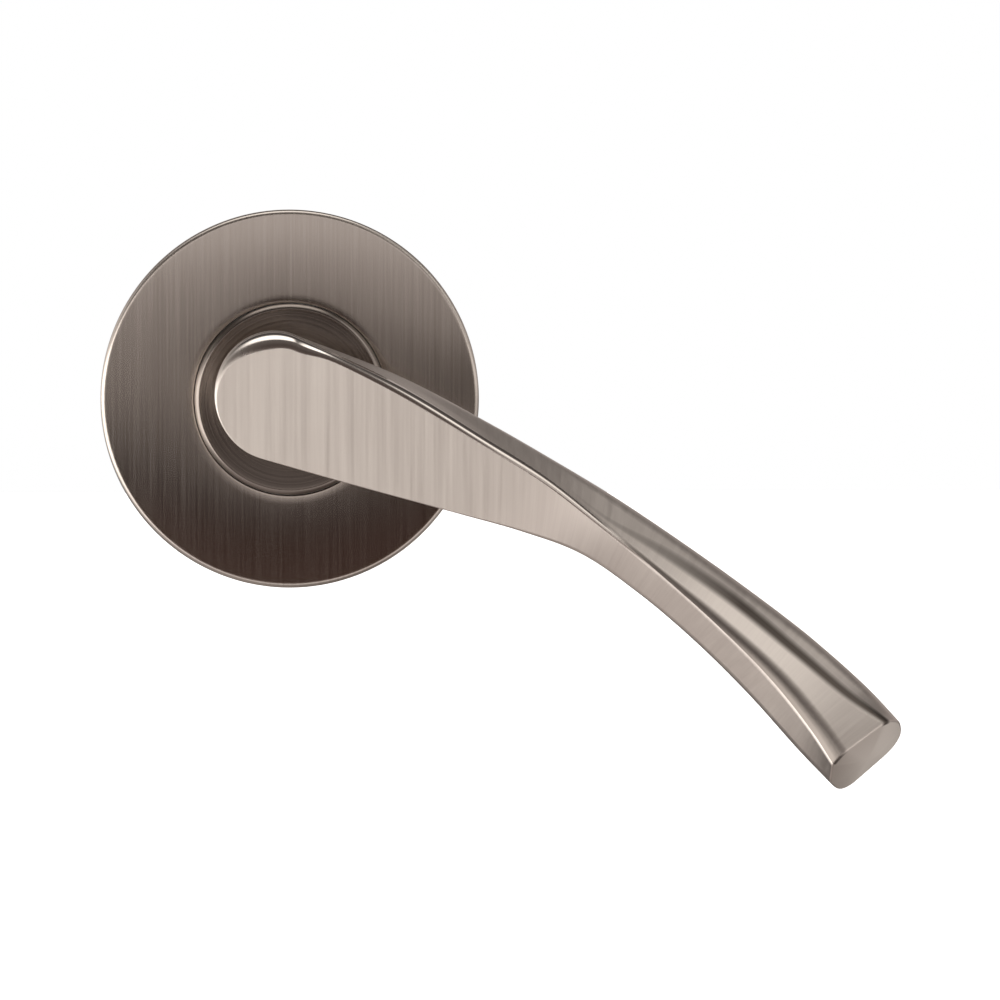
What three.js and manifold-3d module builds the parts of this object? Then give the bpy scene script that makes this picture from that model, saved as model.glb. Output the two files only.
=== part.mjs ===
// Door lever handle on a round rose, with a sprung cassette, in millimetres, +Z up.
// The origin is on the spindle's axis at the door's surface: the door lies at +Y,
// the handle stands out towards -Y, and the lever reaches along +X and droops to -Z.
// "Out" below is the distance from the door towards the hand, so y = -out.

import * as THREE from "three";
import { mergeVertices } from "three/addons/utils/BufferGeometryUtils.js";
import Module from "manifold-3d";

const wasm = await Module();
wasm.setup();

// ---- driving dimensions ----

// rose and collar
const ROSE_RADIUS = 32.5;
const COVER_WALL = 0.9;
const COVER_CROWN = 0.35;
const DOME_CURVE = 1.8;
const COVER_RIM_ROUND = 1.2;
const HOLE_DIP = 0.1;
const HOLE_DIP_WIDTH = 1.5;
const HOLE_EDGE = 0.2;
const COLLAR_RADIUS = 16.4;
const COLLAR_STAND = 1.1;
const COLLAR_DISH = 0.1;
const COLLAR_WALL = 1.4;
const COLLAR_GAP = 0.2;
const COLLAR_ROUND = 0.9;

// lever
const NECK_RADIUS = 9;
const NECK_FLARE = 0.5;
const STUB_WALL = 2;
const STUB_CORNER_WALL = 1.2;
const STUB_BEHIND_DOOR = 3;
const LEVER_OUT = 52;
const LEVER_REACH = 100;
const HEAD_RADIUS = 10.4;
const BLADE_THICKNESS_HEAD = 9.5;
const BLADE_THICKNESS_TIP = 11.3;
const END_CUT_SLANT = 0.55;

// spindle and its set screw
const SPINDLE_SIZE = 8;
const SPINDLE_INSIDE = 34;
const SPINDLE_BEHIND_DOOR = 60;
const SPINDLE_RELIEF = 0.1;
const SPINDLE_BEVEL = 0.8;
const GRUB_RADIUS = 2.5;
const GRUB_OUT = 22;

// spring cassette
const BUSH_WALL = 1.3;
const BASE_WALL = 1.5;
const PLATE_THICKNESS = 1;
const PLATE_RIM = 5.2;
const CAM_PLATE = 0.7;
const CAM_HUB_WALL = 1.6;
const CAM_TAB_HEIGHT = 1.8;
const SPRING_WIRE = 1.2;
const SPRING_TURNS = 2;
const SPRING_PITCH = 1.25;
const POST_RADIUS = 1.3;
const STOP_RADIUS = 1.2;
const TURN_LIMIT = 45;
const WASHER_THICKNESS = 0.6;
const CIRCLIP_THICKNESS = 1;
const CIRCLIP_WIDTH = 2.4;
const GROOVE_DEPTH = 0.6;

// fixings
const SPIGOT_RADIUS = 3.5;
const SPIGOT_BEHIND_DOOR = 10;
const FIXING_RADIUS = 2;
const FIXING_BEHIND_DOOR = 45;
const FIXING_HEAD_RADIUS = 3.6;
const FIXING_HEAD_HEIGHT = 2.2;
const CASSETTE_SCREW_RADIUS = 1.25;
const CASSETTE_SCREW_HEAD = 2.2;
const CASSETTE_SCREW_LENGTH = 4.5;
const CASSETTE_SCREWS = 4;
const WOOD_SCREW_RADIUS = 2;
const RING_RADIUS = 0.85;

// clearances
const RUNNING_GAP = 0.1;
const FIT_GAP = 0.1;
const SEAT_GAP = 0.3;
const WEB = 0.9;

// ---- sizes that follow from them ----

const plateBack = SEAT_GAP;
const plateFront = plateBack + PLATE_THICKNESS;
const camBack = plateFront + SEAT_GAP;
const camPlateFront = camBack + CAM_PLATE;
const camTabFront = camBack + CAM_TAB_HEIGHT;
const springLow = camPlateFront + SEAT_GAP + SPRING_WIRE / 2;
const springHigh = springLow + SPRING_TURNS * SPRING_PITCH;
const chamberCeiling = springHigh + SPRING_WIRE / 2 + SEAT_GAP;
const camFront = chamberCeiling - SEAT_GAP;
const baseFront = chamberCeiling + BASE_WALL;
const coverInside = baseFront + SEAT_GAP;
const coverEdge = coverInside + COVER_WALL;
const collarTop = coverEdge + COVER_CROWN + COLLAR_STAND;
const collarBoreTop = collarTop - COLLAR_DISH;

// the stub leaves a wall round the square socket, thinner at the square's corners
const socketSize = SPINDLE_SIZE + 2 * FIT_GAP;
const stubFlat = socketSize / 2 + STUB_WALL;
const stubRadius = socketSize * Math.SQRT1_2 + STUB_CORNER_WALL;

const bushInner = NECK_RADIUS + RUNNING_GAP;
const bushOuter = bushInner + BUSH_WALL;
const hubBore = bushOuter + FIT_GAP;
const hubRadius = COLLAR_RADIUS - COLLAR_WALL - FIT_GAP;
const hubTop = collarBoreTop - 2 * SEAT_GAP - COLLAR_WALL / 2;
const coverHole = COLLAR_RADIUS + COLLAR_GAP;

const camBore = stubRadius + FIT_GAP;
const camHub = camBore + CAM_HUB_WALL;
const coilRadius = camHub + 0.4 + SPRING_WIRE / 2;
const tabInner = coilRadius + SPRING_WIRE / 2 + SEAT_GAP;
// the post and pins stand clear of both the coil and the base's hub bore
const postPitch = Math.max(tabInner, hubBore + FIT_GAP) + POST_RADIUS;
const tabOuter = postPitch + POST_RADIUS;
const chamberRadius = tabOuter + SEAT_GAP;
const plateRadius = chamberRadius + PLATE_RIM;
const recessRadius = plateRadius + SEAT_GAP;
const plateScrewPitch = chamberRadius + PLATE_RIM / 2;
const fixingPitch = recessRadius + WEB + SPIGOT_RADIUS;
const baseRadius = ROSE_RADIUS - COVER_WALL - 0.4;
const ringPitch = ROSE_RADIUS - COVER_WALL - FIT_GAP - RING_RADIUS;
const ringOut = baseFront / 2;

// ---- colours ----

const NICKEL = { color: 0xb3a89e, roughness: 0.34, metalness: 1 };
const NICKEL_DARK = { color: 0x8f857c, roughness: 0.38, metalness: 1 };
const STEEL = { color: 0xa9abad, roughness: 0.35, metalness: 1 };
const BLACK_STEEL = { color: 0x3c3d40, roughness: 0.5, metalness: 1 };
const ZINC = { color: 0x9c9ea1, roughness: 0.55, metalness: 0.9 };
const SPRING_STEEL = { color: 0x77736d, roughness: 0.4, metalness: 1 };
const NYLON = { color: 0xe9e7df, roughness: 0.6, metalness: 0 };
const RUBBER = { color: 0x1c1c1c, roughness: 0.85, metalness: 0 };

// ---- helpers ----

const handle = new THREE.Group();

// A closed three.js geometry as a solid, with its faces turned outwards.
function toSolid(geometry) {
  const bare = geometry.clone();
  bare.deleteAttribute("normal");
  bare.deleteAttribute("uv");
  const merged = mergeVertices(bare, 1e-4);
  const position = merged.attributes.position;
  const corner = (i) => new THREE.Vector3().fromBufferAttribute(position, i);
  const faces = [];
  let volume = 0;
  for (let i = 0; i < merged.index.count; i += 3) {
    const [a, b, c] = [0, 1, 2].map((k) => merged.index.getX(i + k));
    if (a === b || b === c || c === a) continue;
    faces.push(a, b, c);
    volume += corner(a).dot(corner(b).cross(corner(c)));
  }
  if (volume < 0) faces.reverse();
  const vertProperties = new Float32Array(position.array);
  const triVerts = new Uint32Array(faces);
  return new wasm.Manifold(new wasm.Mesh({ numProp: 3, vertProperties, triVerts }));
}

// A solid back as a three.js geometry with flat shading.
function toGeometry(solid) {
  const mesh = solid.getMesh();
  const indexed = new THREE.BufferGeometry();
  indexed.setAttribute("position", new THREE.BufferAttribute(mesh.vertProperties, 3));
  indexed.setIndex(new THREE.BufferAttribute(mesh.triVerts, 1));
  const flat = indexed.toNonIndexed();
  flat.computeVertexNormals();
  return flat;
}

function add(name, look, solid) {
  const mesh = new THREE.Mesh(toGeometry(solid), new THREE.MeshStandardMaterial(look));
  mesh.name = name;
  handle.add(mesh);
}

// A turned solid about the spindle's axis from [radius, out] points.
function turned(profile, sides) {
  const points = profile.map(([radius, out]) => new THREE.Vector2(radius, -out));
  return toSolid(new THREE.LatheGeometry(points, sides));
}

// A turned ring: the same with its profile closed on itself.
function turnedRing(profile, sides) {
  return turned([...profile, profile[0]], sides);
}

// A round bar parallel to the spindle, centred at x, z.
function bar(radius, outFrom, outTo, sides, x = 0, z = 0) {
  const profile = [[0, outFrom], [radius, outFrom], [radius, outTo], [0, outTo]];
  return turned(profile, sides).translate([x, 0, z]);
}

// A plate of constant section along the spindle's axis, its outline drawn in x and z.
function plate(outline, outFrom, outTo, curveSegments = 12) {
  const depth = outTo - outFrom;
  const geometry = new THREE.ExtrudeGeometry(outline, { depth, bevelEnabled: false, curveSegments });
  geometry.rotateX(Math.PI / 2);
  geometry.translate(0, -outFrom, 0);
  return toSolid(geometry);
}

function rectangle(width, height, x = 0, z = 0) {
  const shape = new THREE.Shape();
  shape.moveTo(x - width / 2, z - height / 2);
  shape.lineTo(x + width / 2, z - height / 2);
  shape.lineTo(x + width / 2, z + height / 2);
  shape.lineTo(x - width / 2, z + height / 2);
  shape.closePath();
  return shape;
}

// A round outline of the given radius cut by flats at z = flat and z = -flat.
function doubleFlat(radius, flat) {
  const bend = Math.asin(flat / radius);
  const shape = new THREE.Shape();
  shape.absarc(0, 0, radius, -bend, bend, false);
  shape.absarc(0, 0, radius, Math.PI - bend, Math.PI + bend, false);
  shape.closePath();
  return shape;
}

function hexagon(acrossFlats) {
  const shape = new THREE.Shape();
  const corners = [0, 1, 2, 3, 4, 5].map((i) => {
    const angle = (i * Math.PI) / 3;
    const reach = acrossFlats / Math.sqrt(3);
    return new THREE.Vector2(reach * Math.cos(angle), reach * Math.sin(angle));
  });
  shape.setFromPoints(corners);
  return shape;
}

const radians = THREE.MathUtils.degToRad;

// ---- lever: a blade lofted through stations, with a round neck ----

// Each station is a cross-section of the blade. x, z and out place its front crease and
// heading is the blade's direction there in degrees. Across the blade, widths are measured
// from the crease and drops go back towards the door: face runs down to the lower edge,
// and ridge, flat and side run up to the soft ridge, the shoulder and the widest place.
const COLUMNS = [
  "x", "z", "out", "heading", "face", "faceDrop",
  "ridge", "ridgeDrop", "flat", "flatDrop", "side", "sideDrop",
];
const STATIONS = [
  [0.55, 11.6, 0, -17, 20.8, 0, 0.07, 4.1, 0.1, 5.2, 0.2, 7],
  [16.8, 3.6, 0, -22, 17.7, 0, 0.45, 1.95, 0.9, 3.9, 1.7, 6.8],
  [32.3, -6, -0.4, -23, 12.6, 0.3, 0.55, 1.3, 1.1, 2.6, 3, 6.4],
  [41.7, -12.1, -1.1, -25, 9.4, 1, 0.55, 0.95, 1.1, 1.9, 3.6, 6],
  [50.6, -19.5, -1.8, -32, 5.8, 2, 0.75, 0.6, 1.5, 1.4, 5.4, 5.8],
  [59.9, -27.5, -2.3, -37, 4.5, 3, 0.9, -0.05, 3.6, 2.1, 6.9, 5.4],
  [69.4, -36, -2.2, -40.5, 4.2, 3.8, 1.3, -0.2, 5.3, 2.2, 8.4, 5.2],
  [78.8, -45.5, -1.2, -44, 4.1, 4.4, 1.9, -0.6, 6.7, 1.9, 10.3, 5],
  [85.4, -53.9, 0.4, -46, 3.5, 4.6, 2.1, -0.8, 9, 1.4, 12.3, 4.4],
  [88.8, -59.4, 1.8, -49, 2, 4.6, 2.3, -1, 11.8, 0.9, 13.6, 4.2],
];
const DRAWN_REACH = 100;
const DRAWN_HEAD_RADIUS = 10.4;

// How far each rounded edge starts before its corner, at the same stations.
const EDGE_TRIMS = {
  crease: [0.8, 0.8, 0.6, 0.6, 0.4, 0.3, 0.3, 0.3, 0.3, 0.4],
  ridge: [0.3, 0.3, 0.3, 0.3, 0.3, 0.5, 0.9, 1.2, 1.3, 1.4],
  shoulder: [0.3, 0.3, 0.3, 0.3, 0.5, 1.4, 1.6, 1.4, 1.2, 1],
  side: [0.8, 1, 1.2, 1.5, 2.2, 2.2, 2.4, 2.2, 2, 1.6],
  backTop: [1, 1, 1.3, 1.6, 2, 2.5, 2.8, 3.3, 4.2, 4.9],
  lower: [0.4, 0.4, 0.4, 0.4, 0.5, 0.6, 0.8, 0.9, 1, 1],
  backLow: [1, 1, 1.2, 1.4, 1.6, 1.8, 2, 2.4, 2.8, 3.4],
};
const RIBS_ALONG = 26;
const RIBS_ROUND_HEAD = 10;
const EDGE_STEPS = 2;
const TIP_BACK_SHIFT = 4.5;
// Round the head the crease's rounding widens into a bevel, and the head swells a little.
const HEAD_BEVEL = 2.5;
const HEAD_BEVEL_REACH = 5.8;
const CREASE_ENDS = 0.6;
const HEAD_SWELL = 0.4;
const SWELL_ENDS = 0.8;

const HEAD_CENTRE = new THREE.Vector2(-2.5, 1.65);
const stretch = LEVER_REACH / DRAWN_REACH;
const headScale = HEAD_RADIUS / DRAWN_HEAD_RADIUS;
const distances = [0];
for (let i = 1; i < STATIONS.length; i += 1) {
  const [[lastX, lastZ], [nextX, nextZ]] = [STATIONS[i - 1], STATIONS[i]];
  distances.push(distances[i - 1] + Math.hypot(nextX - lastX, nextZ - lastZ));
}
const bladeLength = distances[distances.length - 1];

// A smooth reading of one value between the stations.
function along(values) {
  const curve = new THREE.CubicInterpolant(distances, values, 1, new Float32Array(1));
  return (distance) => curve.evaluate(distance)[0];
}

const station = {};
COLUMNS.forEach((key, column) => {
  station[key] = along(STATIONS.map((row) => row[column]));
});
const trim = {};
Object.entries(EDGE_TRIMS).forEach(([key, values]) => {
  trim[key] = along(values);
});

// The half section above (or below) the blade's middle line at a distance along it:
// corners as [across, drop] from the middle line, each with its trim.
function halfSection(distance, upper) {
  const face = station.face(distance);
  const share = distance / bladeLength;
  const back = THREE.MathUtils.lerp(BLADE_THICKNESS_HEAD, BLADE_THICKNESS_TIP, share);
  const middleDrop = station.faceDrop(distance) / 2;
  const backShift = (upper ? 1 : -1) * TIP_BACK_SHIFT * share * share;
  if (upper) {
    const side = face / 2 + station.side(distance);
    const heel = side - THREE.MathUtils.lerp(0.2, 1.1, share);
    const bevel = HEAD_BEVEL * Math.exp(-((distance / HEAD_BEVEL_REACH) ** 2));
    const corners = [
      [face / 2, 0, trim.crease(distance) + bevel],
      [face / 2 + station.ridge(distance), station.ridgeDrop(distance), trim.ridge(distance)],
      [face / 2 + station.flat(distance), station.flatDrop(distance), trim.shoulder(distance)],
      [side, station.sideDrop(distance), trim.side(distance)],
      [heel, back, trim.backTop(distance)],
    ];
    return { corners, middleDrop, back, backShift };
  }
  const edge = [face / 2, station.faceDrop(distance)];
  const heel = [face / 2 - 0.4, back];
  const between = (part) => edge.map((value, i) => THREE.MathUtils.lerp(value, heel[i], part));
  const corners = [
    [...edge, trim.lower(distance)],
    [...between(0.24), 0.1],
    [...between(0.32), 0.1],
    [...between(0.4), 0.1],
    [...heel, trim.backLow(distance)],
  ];
  return { corners, middleDrop, back, backShift };
}

// The rounded rib of a half section, from the front middle line to the back one.
function ribPoints({ corners, middleDrop, back, backShift }) {
  const start = new THREE.Vector2(0, middleDrop);
  const end = new THREE.Vector2(backShift, back);
  const sharp = corners.map(([across, drop]) => new THREE.Vector2(across, drop));
  const points = [start];
  sharp.forEach((corner, i) => {
    const before = i === 0 ? start : sharp[i - 1];
    const after = i === sharp.length - 1 ? end : sharp[i + 1];
    const step = corners[i][2];
    const from = before.clone().sub(corner).setLength(step).add(corner);
    const to = after.clone().sub(corner).setLength(step).add(corner);
    points.push(...new THREE.QuadraticBezierCurve(from, corner, to).getPoints(EDGE_STEPS));
  });
  points.push(end);
  return points;
}

// The middle of the blade at a distance along it, and its directions there.
function middle(distance) {
  const turn = radians(station.heading(distance));
  const forward = new THREE.Vector2(Math.cos(turn), Math.sin(turn));
  const up = new THREE.Vector2(-forward.y, forward.x);
  const crease = new THREE.Vector2(station.x(distance), station.z(distance));
  const centre = crease.addScaledVector(up, -station.face(distance) / 2);
  centre.sub(HEAD_CENTRE).multiplyScalar(stretch).add(HEAD_CENTRE);
  return { centre, forward, up, out: LEVER_OUT + station.out(distance) };
}

// One rib in space, swung about the middle by the given turn from straight up.
function ribInSpace(points, distance, swing, scale) {
  const { centre, forward, up, out } = middle(distance);
  const across = up.clone().rotateAround(new THREE.Vector2(0, 0), swing);
  const slant = END_CUT_SLANT * Math.max(0, (distance / bladeLength - 0.85) / 0.15);
  return points.map((point) => {
    const x = centre.x + across.x * point.x * scale + forward.x * slant * point.y;
    const z = centre.y + across.y * point.x * scale + forward.y * slant * point.y;
    return new THREE.Vector3(x, point.y - out, z);
  });
}

function blade() {
  const ribs = [];
  const widen = (distance) => THREE.MathUtils.lerp(headScale, 1, distance / bladeLength);
  for (let i = RIBS_ALONG; i >= 0; i -= 1) {
    const distance = (bladeLength * i) / RIBS_ALONG;
    ribs.push(ribInSpace(ribPoints(halfSection(distance, true)), distance, 0, widen(distance)));
  }
  const top = ribPoints(halfSection(0, true));
  const bottom = ribPoints(halfSection(0, false));
  for (let i = 1; i < RIBS_ROUND_HEAD; i += 1) {
    const part = i / RIBS_ROUND_HEAD;
    const blend = THREE.MathUtils.smoothstep(part, 0, CREASE_ENDS);
    const mixed = top.map((point, k) => point.clone().lerp(bottom[k], blend));
    const swung = Math.min(part / SWELL_ENDS, 1);
    const swell = HEAD_SWELL * swung * (1 - swung) ** 2;
    ribs.push(ribInSpace(mixed, 0, Math.PI * part, headScale * (1 + swell)));
  }
  for (let i = 0; i <= RIBS_ALONG; i += 1) {
    const distance = (bladeLength * i) / RIBS_ALONG;
    const points = ribPoints(halfSection(distance, false));
    ribs.push(ribInSpace(points, distance, Math.PI, widen(distance)));
  }
  const count = ribs[0].length;
  const index = [];
  const quad = (a, b, c, d) => index.push(a, b, c, a, c, d);
  for (let i = 0; i < ribs.length; i += 1) {
    const next = (i + 1) % ribs.length;
    for (let k = 0; k < count - 1; k += 1) {
      quad(i * count + k, i * count + k + 1, next * count + k + 1, next * count + k);
    }
  }
  const geometry = new THREE.BufferGeometry().setFromPoints(ribs.flat());
  geometry.setIndex(index);
  return toSolid(geometry);
}

const bladeBack = LEVER_OUT - BLADE_THICKNESS_HEAD;
const stubFront = chamberCeiling;
const stubBack = -STUB_BEHIND_DOOR;
const circlipFront = plateBack - 2 * SEAT_GAP - WASHER_THICKNESS - FIT_GAP;
const circlipBack = circlipFront - CIRCLIP_THICKNESS;
const grooveRadius = stubRadius - GROOVE_DEPTH;

function lever() {
  const neck = turned([
    [0, stubFront],
    [NECK_RADIUS, stubFront],
    [NECK_RADIUS, bladeBack - 6],
    [NECK_RADIUS + NECK_FLARE * 0.3, bladeBack - 3],
    [NECK_RADIUS + NECK_FLARE, bladeBack],
    [NECK_RADIUS + NECK_FLARE, bladeBack + 2],
    [0, bladeBack + 2],
  ], 48);
  const stub = plate(doubleFlat(stubRadius, stubFlat), stubBack, stubFront + 1, 10);
  const groove = turnedRing([
    [grooveRadius, circlipBack - FIT_GAP],
    [stubRadius + 1, circlipBack - FIT_GAP],
    [stubRadius + 1, circlipFront + FIT_GAP],
    [grooveRadius, circlipFront + FIT_GAP],
  ], 32);
  const socket = plate(rectangle(socketSize, socketSize), stubBack - 1, SPINDLE_INSIDE + 1);
  const drill = GRUB_RADIUS + FIT_GAP;
  const grubHole = toSolid(new THREE.CylinderGeometry(drill, drill, 2 * NECK_RADIUS, 16))
    .rotate([90, 0, 0])
    .translate([0, -GRUB_OUT, -NECK_RADIUS]);
  return neck.add(stub).add(blade()).subtract(groove).subtract(socket).subtract(grubHole);
}

function grubScrew() {
  const top = -SPINDLE_SIZE / 2 - FIT_GAP - SEAT_GAP;
  const bottom = -NECK_RADIUS + 0.4;
  const body = toSolid(new THREE.CylinderGeometry(GRUB_RADIUS, GRUB_RADIUS, top - bottom, 16));
  const hex = new THREE.ExtrudeGeometry(hexagon(2.5), { depth: 4, bevelEnabled: false });
  const hexHole = toSolid(hex).translate([0, 0, bottom - 2]);
  const placed = body.rotate([90, 0, 0]).translate([0, 0, (top + bottom) / 2]);
  return placed.subtract(hexHole).translate([0, -GRUB_OUT, 0]);
}

// The end inside the lever is relieved a little so that it slides into the socket.
function spindle() {
  const bevel = SPINDLE_BEVEL;
  const reliefStart = stubBack - SEAT_GAP;
  const inner = SPINDLE_SIZE - 2 * SPINDLE_RELIEF;
  const driving = plate(rectangle(SPINDLE_SIZE, SPINDLE_SIZE), -SPINDLE_BEHIND_DOOR, reliefStart);
  const relieved = plate(rectangle(inner, inner), reliefStart, SPINDLE_INSIDE);
  const reach = SPINDLE_SIZE * Math.SQRT1_2;
  const trimmer = turned([
    [0, -SPINDLE_BEHIND_DOOR],
    [reach - bevel, -SPINDLE_BEHIND_DOOR],
    [reach, -SPINDLE_BEHIND_DOOR + bevel],
    [reach, SPINDLE_INSIDE - bevel],
    [reach - bevel, SPINDLE_INSIDE],
    [0, SPINDLE_INSIDE],
  ], 24);
  return driving.add(relieved).intersect(trimmer);
}

add("lever_handle", NICKEL, lever());
add("grub_screw", BLACK_STEEL, grubScrew());
add("spindle", STEEL, spindle());

// ---- rose: cover, collar, base and bush ----

function roundedCorner(centreRadius, centreOut, radius, fromDegrees, toDegrees, steps) {
  const points = [];
  for (let i = 0; i <= steps; i += 1) {
    const angle = radians(THREE.MathUtils.lerp(fromDegrees, toDegrees, i / steps));
    points.push([centreRadius + radius * Math.cos(angle), centreOut + radius * Math.sin(angle)]);
  }
  return points;
}

// The cover is one wall thick: a rounded rim, a shallow dome, and a dip to the pierced hole.
function rosetteCover() {
  const crownOut = coverEdge + COVER_CROWN;
  const rimCentre = [ROSE_RADIUS - COVER_RIM_ROUND, coverEdge - COVER_RIM_ROUND];
  const innerRim = COVER_RIM_ROUND - COVER_WALL;
  const dome = [0.75, 0.5, 0.25, HOLE_DIP_WIDTH / (rimCentre[0] - coverHole)].map((share) => [
    THREE.MathUtils.lerp(coverHole, rimCentre[0], share),
    crownOut - COVER_CROWN * share ** DOME_CURVE,
  ]);
  const holeOut = crownOut - HOLE_DIP;
  const under = dome.map(([radius, out]) => [radius, out - COVER_WALL]).reverse();
  return turnedRing([
    [ROSE_RADIUS, 0],
    ...roundedCorner(...rimCentre, COVER_RIM_ROUND, 0, 90, 3),
    ...dome,
    [coverHole + HOLE_EDGE, holeOut],
    [coverHole, holeOut - HOLE_EDGE],
    [coverHole, holeOut - COVER_WALL],
    ...under,
    ...roundedCorner(...rimCentre, innerRim, 90, 0, 2),
    [ROSE_RADIUS - COVER_WALL, 0],
  ], 64);
}

function neckCollar() {
  const bore = NECK_RADIUS + SEAT_GAP;
  const round = COLLAR_ROUND;
  const seat = baseFront + FIT_GAP;
  const ceiling = hubTop + FIT_GAP;
  return turnedRing([
    [COLLAR_RADIUS, seat],
    ...roundedCorner(COLLAR_RADIUS - round, collarTop - round, round, 0, 90, 3),
    [bore, collarBoreTop],
    [bore, ceiling],
    [hubRadius + FIT_GAP, ceiling],
    [hubRadius + FIT_GAP, seat],
  ], 48);
}

function neckBush() {
  const [low, high] = [chamberCeiling + FIT_GAP, hubTop - FIT_GAP];
  return turnedRing([[bushInner, low], [bushOuter, low], [bushOuter, high], [bushInner, high]], 48);
}

const fixingSides = { left: -1, right: 1 };
const plateScrewAngles = [];
for (let i = 0; i < CASSETTE_SCREWS; i += 1) plateScrewAngles.push(radians(45 + (i * 360) / CASSETTE_SCREWS));
const headSeat = baseFront - FIXING_HEAD_HEIGHT;
const halfTab = Math.asin(POST_RADIUS / postPitch);
const halfStop = Math.asin(STOP_RADIUS / postPitch);
const stopAngle = radians(TURN_LIMIT + 0.5) + halfTab + halfStop;
const pinFront = baseFront - 0.15;

function roseBase() {
  const grooveHalf = RING_RADIUS + FIT_GAP / 2;
  const grooveFloor = ringPitch - RING_RADIUS - FIT_GAP;
  let body = turnedRing([
    [hubBore, chamberCeiling],
    [hubBore, hubTop],
    [hubRadius, hubTop],
    [hubRadius, baseFront],
    [baseRadius - 0.6, baseFront],
    [baseRadius, baseFront - 0.6],
    [baseRadius, ringOut + grooveHalf],
    [grooveFloor, ringOut + grooveHalf],
    [grooveFloor, ringOut - grooveHalf],
    [baseRadius, ringOut - grooveHalf],
    [baseRadius, 0],
    [recessRadius, 0],
    [recessRadius, plateFront + FIT_GAP],
    [chamberRadius, plateFront + FIT_GAP],
    [chamberRadius, chamberCeiling],
  ], 60);
  for (const side of Object.values(fixingSides)) {
    const x = side * fixingPitch;
    body = body.subtract(bar(SPIGOT_RADIUS + FIT_GAP, -1, headSeat - 1.5, 24, x));
    body = body.subtract(bar(FIXING_RADIUS + FIT_GAP, 0, baseFront + 1, 16, x));
    body = body.subtract(bar(FIXING_HEAD_RADIUS + SEAT_GAP, headSeat, baseFront + 1, 24, x));
    const z = side * fixingPitch;
    body = body.subtract(bar(WOOD_SCREW_RADIUS, -1, baseFront + 1, 16, 0, z));
    const [x2, z2] = [side * postPitch * Math.sin(stopAngle), -postPitch * Math.cos(stopAngle)];
    body = body.subtract(bar(STOP_RADIUS + FIT_GAP, chamberCeiling - 1, baseFront + 1, 16, x2, z2));
  }
  body = body.subtract(bar(POST_RADIUS + FIT_GAP, chamberCeiling - 1, baseFront + 1, 16, 0, postPitch));
  for (const angle of plateScrewAngles) {
    const [x, z] = [plateScrewPitch * Math.cos(angle), plateScrewPitch * Math.sin(angle)];
    const depth = plateBack + CASSETTE_SCREW_LENGTH + SEAT_GAP;
    body = body.subtract(bar(CASSETTE_SCREW_RADIUS + FIT_GAP, 0, depth, 12, x, z));
  }
  return body;
}

function coverRing() {
  const centre = new THREE.TorusGeometry(ringPitch, RING_RADIUS, 8, 60);
  centre.rotateX(Math.PI / 2);
  return toSolid(centre).translate([0, -ringOut, 0]);
}

add("rosette_cover", NICKEL_DARK, rosetteCover());
add("neck_collar", NICKEL_DARK, neckCollar());
add("neck_bush", NYLON, neckBush());
add("rose_base", ZINC, roseBase());
add("cover_ring", RUBBER, coverRing());

// ---- spring cassette ----

function springCam() {
  const hub = bar(camHub, camBack, camFront, 32);
  const disc = bar(tabInner, camBack, camPlateFront, 32);
  const tabLength = tabOuter - tabInner;
  const tabMiddle = (tabOuter + tabInner) / 2;
  const tabWidth = 2 * POST_RADIUS;
  let body = hub.add(disc);
  for (const side of [1, -1]) {
    const arm = rectangle(tabWidth, tabLength + 2, 0, side * (tabMiddle - 1));
    const tab = rectangle(tabWidth, tabLength, 0, side * tabMiddle);
    body = body.add(plate(arm, camBack, camPlateFront)).add(plate(tab, camBack, camTabFront));
  }
  const bore = doubleFlat(camBore, stubFlat + FIT_GAP);
  return body.subtract(plate(bore, camBack - 1, camFront + 1, 10));
}

// The wire runs from one leg, round the coil, to the other. Both legs end parallel to the
// spindle, one on each side of the post and the cam's tab, so either turn winds the spring.
class SpringPath extends THREE.Curve {
  getPoint(part) {
    const legSwing = Math.asin((POST_RADIUS + SPRING_WIRE / 2 + FIT_GAP) / tabInner);
    const [legLow, legHigh] = [camTabFront - 1.2, chamberCeiling - 1.1];
    const turns = SPRING_TURNS * 2 * Math.PI - 2 * legSwing;
    const top = Math.PI / 2;
    const place = (radius, angle, out) =>
      new THREE.Vector3(radius * Math.cos(angle), -out, radius * Math.sin(angle));
    const legShare = 0.06;
    if (part < legShare) return this.leg(part / legShare, top + legSwing, legHigh, springLow, place);
    if (part > 1 - legShare) {
      return this.leg((1 - part) / legShare, top - legSwing, legLow, springHigh, place);
    }
    const wound = (part - legShare) / (1 - 2 * legShare);
    const out = THREE.MathUtils.lerp(springLow, springHigh, wound);
    return place(coilRadius, top + legSwing + turns * wound, out);
  }

  // A leg from its free end (0) to the coil (1): along the spindle, then inwards.
  leg(part, angle, endOut, coilOut, place) {
    const bend = 0.62;
    if (part < bend) return place(postPitch, angle, THREE.MathUtils.lerp(endOut, coilOut, part / bend));
    const inward = (part - bend) / (1 - bend);
    return place(THREE.MathUtils.lerp(postPitch, coilRadius, inward), angle, coilOut);
  }
}

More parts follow.
